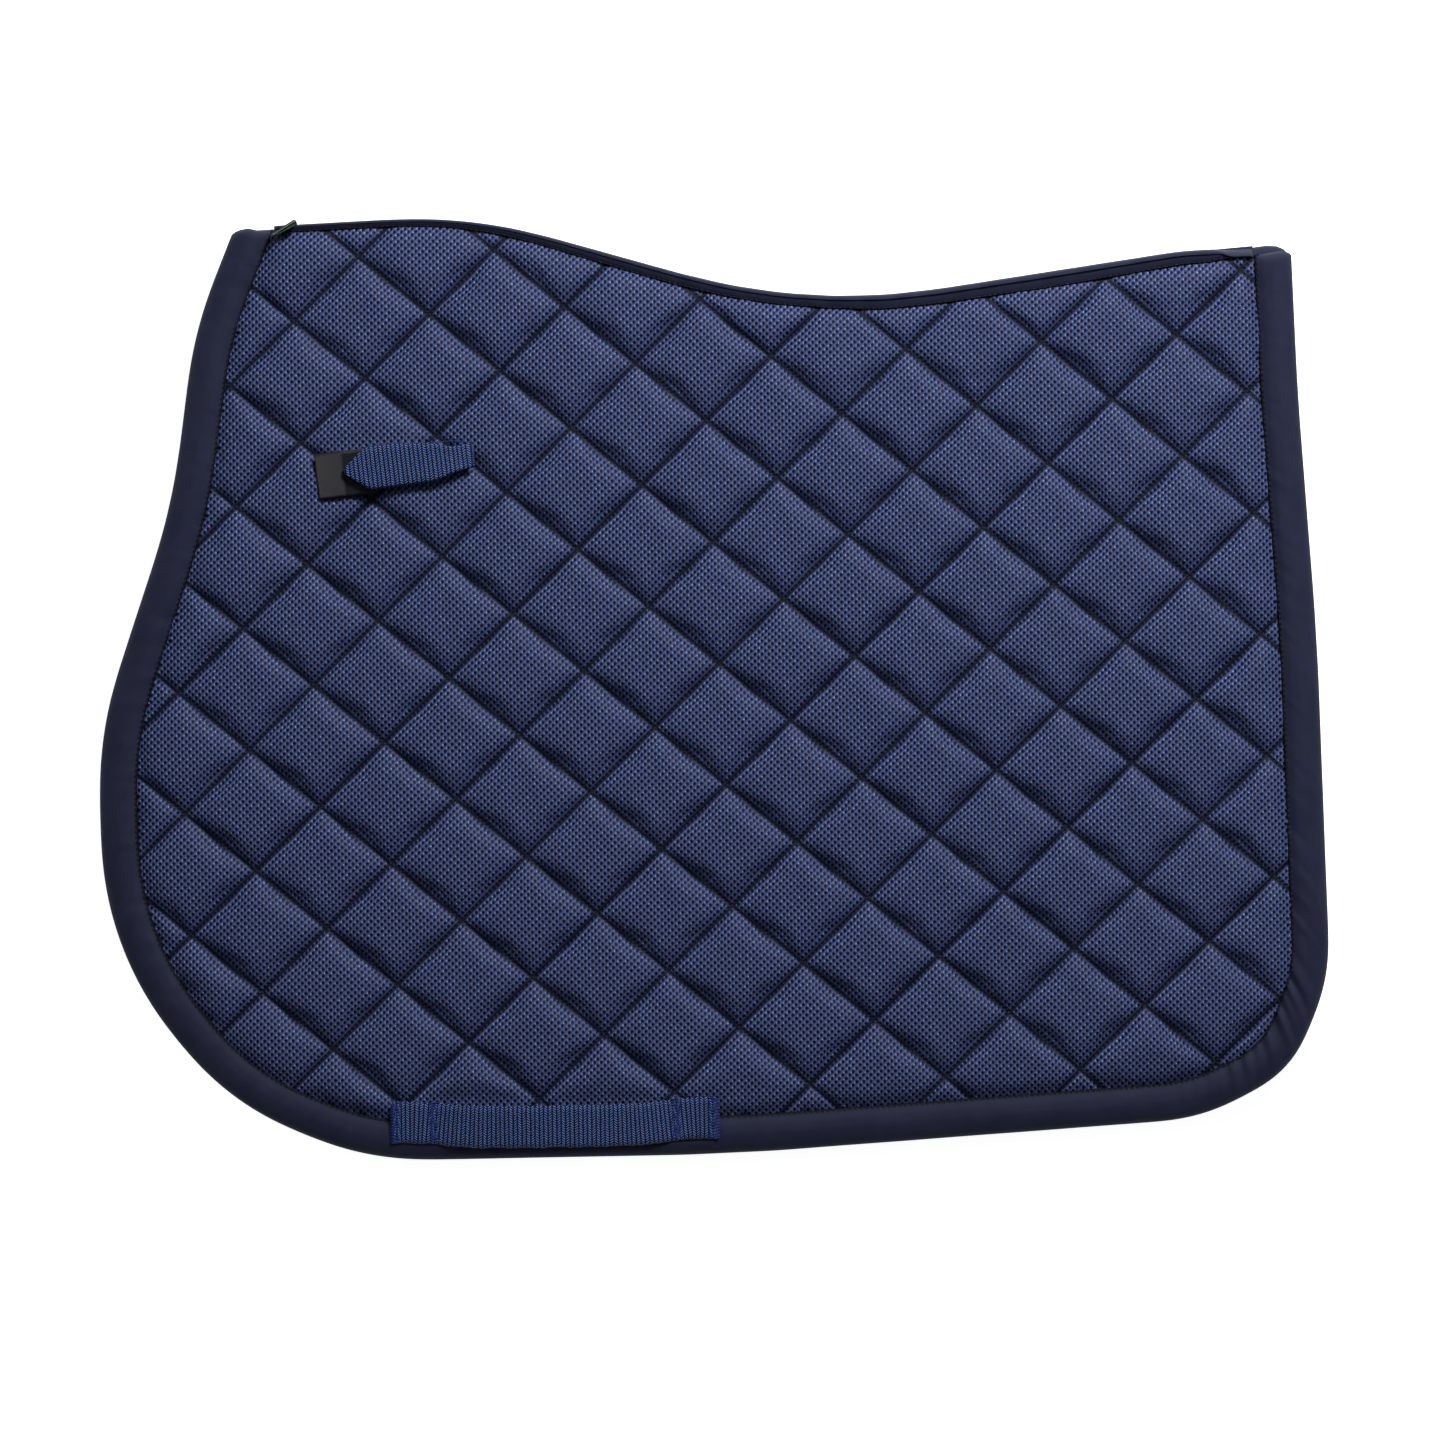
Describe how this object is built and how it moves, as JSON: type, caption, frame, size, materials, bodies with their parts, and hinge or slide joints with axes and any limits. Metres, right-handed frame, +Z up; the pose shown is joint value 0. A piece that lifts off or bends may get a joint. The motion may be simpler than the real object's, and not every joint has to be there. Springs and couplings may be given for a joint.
{
  "type": "saddle pad",
  "caption": "Diamond-quilted saddle pad folded flat along its spine, with bound edges, girth loops and hook-and-loop billet straps.",
  "frame": {"origin": "centre of the folded pad's footprint, on the surface it lies on", "axes": "+X to the rear of the pad, +Y to its spine, +Z up, out of the upper half"},
  "size_m": [0.7085, 0.5416, 0.0286],
  "materials": {
    "quilt_fabric": "knitted navy and mauve quilt cloth",
    "wadding": "soft foam wadding",
    "lining_fabric": "plain woven lining",
    "binding_fabric": "smooth dark navy binding",
    "webbing": "ribbed navy webbing",
    "thread": "black sewing thread",
    "hook_tape": "black hook tape",
    "loop_tape": "black loop tape",
    "ribbon": "dark green ribbon with a pale edge"
  },
  "bodies": {
    "far_half": {"far_outer_fabric": "quilt_fabric", "far_wadding": "wadding", "far_lining": "lining_fabric", "far_quilting_thread": "thread", "far_edge_binding": "binding_fabric", "far_binding_stitching": "thread", "far_spine_binding": "binding_fabric", "far_girth_loop": "webbing", "far_girth_loop_stitching": "thread", "far_strap_base": "webbing", "far_strap_base_stitching": "thread", "far_hook_tape": "hook_tape"},
    "near_half": {"near_outer_fabric": "quilt_fabric", "near_wadding": "wadding", "near_lining": "lining_fabric", "near_quilting_thread": "thread", "near_edge_binding": "binding_fabric", "near_binding_stitching": "thread", "near_spine_binding": "binding_fabric", "near_girth_loop": "webbing", "near_girth_loop_stitching": "thread", "near_strap_base": "webbing", "near_strap_base_stitching": "thread", "near_hook_tape": "hook_tape", "ribbon_label": "ribbon"},
    "near_strap": {"near_strap_flap": "webbing", "near_loop_tape": "loop_tape", "near_flap_stitching": "thread"},
    "far_strap": {"far_strap_flap": "webbing", "far_loop_tape": "loop_tape", "far_flap_stitching": "thread"}
  },
  "joints": [
    {"name": "spine_fold", "type": "hinge", "parent": "far_half", "child": "near_half", "pos_m": [0.07612, 0.26282, 0.01015], "axis": [-0.9993, 0.0369, 0], "range_deg": [0, 75]},
    {"name": "near_strap_fold", "type": "hinge", "parent": "near_half", "child": "near_strap", "pos_m": [-0.1395, 0.135, 0.0256], "axis": [-0.0785, 0.9969, 0], "range_deg": [0, 150]},
    {"name": "far_strap_fold", "type": "hinge", "parent": "far_half", "child": "far_strap", "pos_m": [-0.1395, 0.135, 0.0029], "axis": [0.0785, -0.9969, 0], "range_deg": [0, 150]}
  ]
}
